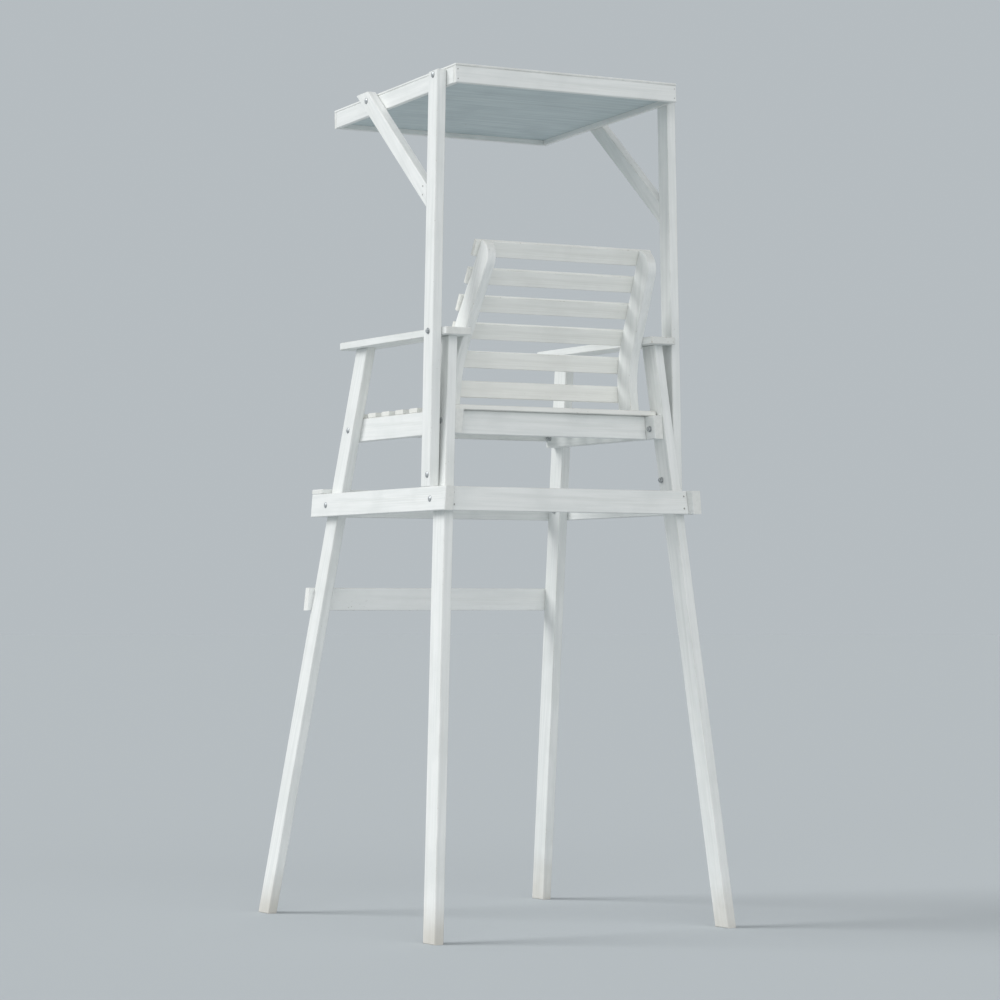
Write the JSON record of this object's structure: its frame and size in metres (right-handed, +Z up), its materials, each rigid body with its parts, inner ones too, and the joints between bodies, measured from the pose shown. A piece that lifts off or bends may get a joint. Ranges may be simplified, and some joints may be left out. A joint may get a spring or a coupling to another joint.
{
  "type": "lifeguard chair",
  "caption": "Tall white timber lifeguard chair on splayed legs, with ladder step, platform, slatted seat, bowed slatted back, armrests and a flat roof on posts.",
  "frame": {"origin": "on the ground, in the middle of the footprint of the legs", "axes": "+Z up, -Y the way the sitter faces, +X the sitter's left"},
  "size_m": [1.3096, 1.494, 3.2499],
  "materials": {
    "painted_timber": "satin off-white exterior paint on planed softwood, brushed on",
    "slat_timber": "satin cream-white exterior paint on planed softwood, worn by sitting",
    "roof_plywood": "satin off-white exterior paint on plywood",
    "ceiling_plywood": "matt grey-green exterior paint on plywood",
    "galvanized_steel": "hot-dip galvanized, partly painted over"
  },
  "bodies": {
    "root": {"armrest_left": "painted_timber", "armrest_right": "painted_timber", "armrest_screw_left": "galvanized_steel", "armrest_screw_right": "galvanized_steel", "back_slat_1": "slat_timber", "back_slat_2": "slat_timber", "back_slat_3": "slat_timber", "back_slat_4": "slat_timber", "back_slat_5": "slat_timber", "back_slat_6": "slat_timber", "back_stile_left": "painted_timber", "back_stile_right": "painted_timber", "brace_bolt_left": "galvanized_steel", "brace_bolt_right": "galvanized_steel", "foot_board": "painted_timber", "front_leg_left": "painted_timber", "front_leg_right": "painted_timber", "ladder_step": "painted_timber", "platform_front_bolt_left": "galvanized_steel", "platform_front_bolt_right": "galvanized_steel", "platform_front_rail": "painted_timber", "platform_rear_bolt_left": "galvanized_steel", "platform_rear_bolt_right": "galvanized_steel", "platform_rear_rail": "painted_timber", "platform_side_rail_left": "painted_timber", "platform_side_rail_right": "painted_timber", "post_foot_bolt_left": "galvanized_steel", "post_foot_bolt_right": "galvanized_steel", "post_top_bolt_left": "galvanized_steel", "post_top_bolt_right": "galvanized_steel", "rear_leg_left": "painted_timber", "rear_leg_right": "painted_timber", "roof_brace_left": "painted_timber", "roof_brace_right": "painted_timber", "roof_ceiling": "ceiling_plywood", "roof_deck": "roof_plywood", "roof_front_board": "painted_timber", "roof_post_left": "painted_timber", "roof_post_right": "painted_timber", "roof_rafter": "painted_timber", "roof_rear_board": "painted_timber", "roof_side_board_left": "painted_timber", "roof_side_board_right": "painted_timber", "seat_front_bolt_left": "galvanized_steel", "seat_front_bolt_right": "galvanized_steel", "seat_front_rail": "painted_timber", "seat_rear_bolt_left": "galvanized_steel", "seat_rear_bolt_right": "galvanized_steel", "seat_rear_rail": "painted_timber", "seat_rear_slat": "slat_timber", "seat_side_rail_left": "painted_timber", "seat_side_rail_right": "painted_timber", "seat_slat_1": "slat_timber", "seat_slat_2": "slat_timber", "seat_slat_3": "slat_timber", "seat_slat_4": "slat_timber", "seat_slat_5": "slat_timber", "seat_slat_6": "slat_timber", "stile_bolt_left": "galvanized_steel", "stile_bolt_right": "galvanized_steel"}
  },
  "joints": []
}
